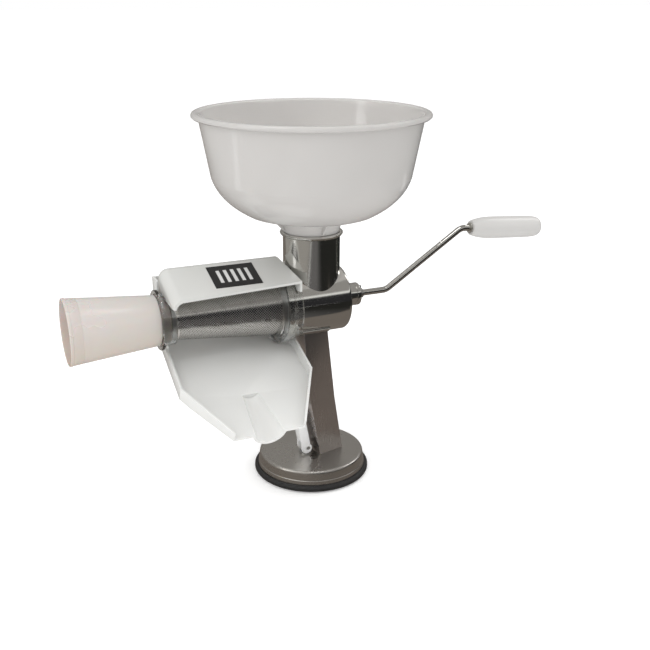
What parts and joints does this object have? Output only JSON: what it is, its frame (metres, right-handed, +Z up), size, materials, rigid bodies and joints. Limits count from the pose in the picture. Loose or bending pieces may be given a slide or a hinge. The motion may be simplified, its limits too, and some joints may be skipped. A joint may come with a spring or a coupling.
{
  "type": "hand-cranked food mill",
  "caption": "Table food mill: white bowl hopper over a crank-driven auger and perforated cone, with a sloping juice chute, waste funnel, splash guard and suction foot.",
  "frame": {"origin": "centre of the suction cup's underside, on the table", "axes": "+Z up, +X along the auger towards the crank, -Y the side the juice leaves"},
  "size_m": [0.523, 0.23, 0.381],
  "materials": {
    "rubber": "matt black rubber",
    "cap_steel": "satin pressed steel",
    "polished_steel": "polished stainless steel",
    "leg_steel": "brushed stainless steel",
    "hardware_steel": "plain steel",
    "spring_steel": "spring wire",
    "lever_plastic": "white moulded plastic",
    "hopper_plastic": "white glossy plastic",
    "chute_plastic": "white plastic, slightly translucent",
    "guard_plastic": "white plastic",
    "badge_print": "plain dark panel with no text",
    "grip_plastic": "satin white plastic",
    "auger_plastic": "white plastic",
    "perforated_steel": "perforated stainless sheet",
    "clear_plastic": "clear moulded plastic",
    "milky_plastic": "milky translucent plastic",
    "bush_bronze": "sintered bronze",
    "seal_rubber": "black rubber seal"
  },
  "bodies": {
    "stand": {"suction_cup": "rubber", "base_cap": "cap_steel", "cam_washer": "hardware_steel", "leg": "leg_steel", "leg_saddle": "polished_steel", "body_tube": "polished_steel", "body_end_plate": "polished_steel", "crank_collar": "polished_steel", "shaft_bush": "bush_bronze", "shaft_seal": "seal_rubber", "inlet_pipe": "polished_steel", "bayonet_pins": "polished_steel", "tube_seal": "seal_rubber"},
    "stud": {"cup_plate": "hardware_steel", "pull_stud": "hardware_steel", "lever_pin": "hardware_steel", "return_spring": "spring_steel"},
    "lever": {"suction_lever": "lever_plastic"},
    "drive": {"auger": "auger_plastic", "auger_shaft": "hardware_steel", "auger_spring": "spring_steel", "thrust_washer": "hardware_steel", "crank_rod": "polished_steel", "crank_screw": "hardware_steel", "grip_rivet": "hardware_steel"},
    "handle": {"grip": "grip_plastic", "grip_ferrule": "polished_steel", "grip_plug": "grip_plastic"},
    "screen_unit": {"screen": "perforated_steel", "large_hoop": "hardware_steel", "small_hoop": "hardware_steel", "screen_flange": "clear_plastic", "screen_end_ring": "clear_plastic"},
    "funnel": {"waste_funnel": "milky_plastic"},
    "guard": {"splash_guard": "guard_plastic", "guard_badge": "badge_print"},
    "chute": {"juice_chute": "chute_plastic"},
    "bowl": {"hopper": "hopper_plastic"}
  },
  "joints": [
    {"name": "hopper_lift", "type": "slide", "parent": "stand", "child": "bowl", "axis": [0, 0, 1], "range_m": [0, 0.06]},
    {"name": "crank_turn", "type": "hinge", "parent": "stand", "child": "drive", "pos_m": [0, 0, 0.191], "axis": [1, 0, 0], "continuous": true},
    {"name": "grip_spin", "type": "hinge", "parent": "drive", "child": "handle", "pos_m": [0.1868, 0, 0.2482], "axis": [0.9972, 0, -0.075], "continuous": true},
    {"name": "screen_pull", "type": "slide", "parent": "stand", "child": "screen_unit", "axis": [-1, 0, 0], "range_m": [0, 0.15]},
    {"name": "funnel_pull", "type": "slide", "parent": "screen_unit", "child": "funnel", "axis": [-1, 0, 0], "range_m": [0, 0.03]},
    {"name": "guard_lift", "type": "slide", "parent": "screen_unit", "child": "guard", "axis": [0, -0.866, 0.5], "range_m": [0, 0.15]},
    {"name": "chute_drop", "type": "slide", "parent": "screen_unit", "child": "chute", "axis": [0, 0, -1], "range_m": [0, 0.06]},
    {"name": "stud_lift", "type": "slide", "parent": "stand", "child": "stud", "axis": [0, 0, 1], "range_m": [0, 0.002], "deforming": ["return_spring"]},
    {"name": "lever_turn", "type": "hinge", "parent": "stud", "child": "lever", "pos_m": [-0.0095, -0.008, 0.0291], "axis": [0, -1, 0], "range_deg": [0, 80]}
  ],
  "couplings": [
    {"joint": "stud_lift", "follows": "lever_turn", "m_per_rad": 0.0014324}
  ]
}
